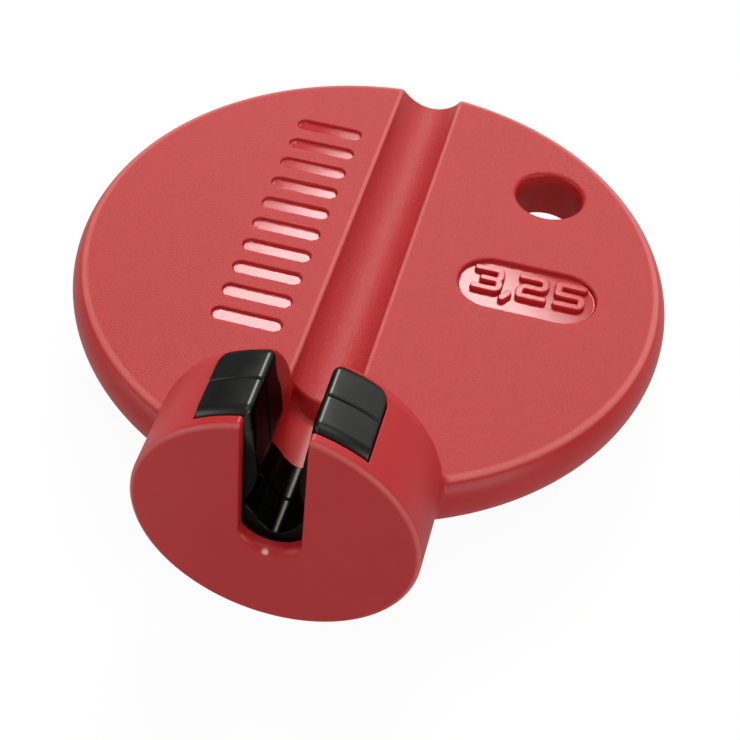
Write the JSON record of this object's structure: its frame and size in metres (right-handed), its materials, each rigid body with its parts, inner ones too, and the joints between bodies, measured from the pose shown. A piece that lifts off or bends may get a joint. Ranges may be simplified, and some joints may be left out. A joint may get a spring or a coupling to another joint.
{
  "type": "spoke wrench",
  "caption": "Disc-shaped moulded spoke wrench with a spoke groove, a hang hole and a slotted round head that holds V-seated hardened steel jaw plates.",
  "frame": {"origin": "centre of the grip disc's flat underside", "axes": "+X across the disc towards the hang hole's side, +Y along the spoke groove away from the head, +Z out of the disc's grooved face"},
  "size_m": [0.052, 0.056, 0.0229],
  "materials": {
    "moulded_body": "fine moulded grain, satin",
    "jaw_steel": "blackened and hardened, satin"
  },
  "bodies": {
    "root": {"body": "moulded_body", "front_jaw": "jaw_steel", "rear_jaw": "jaw_steel"}
  },
  "joints": []
}
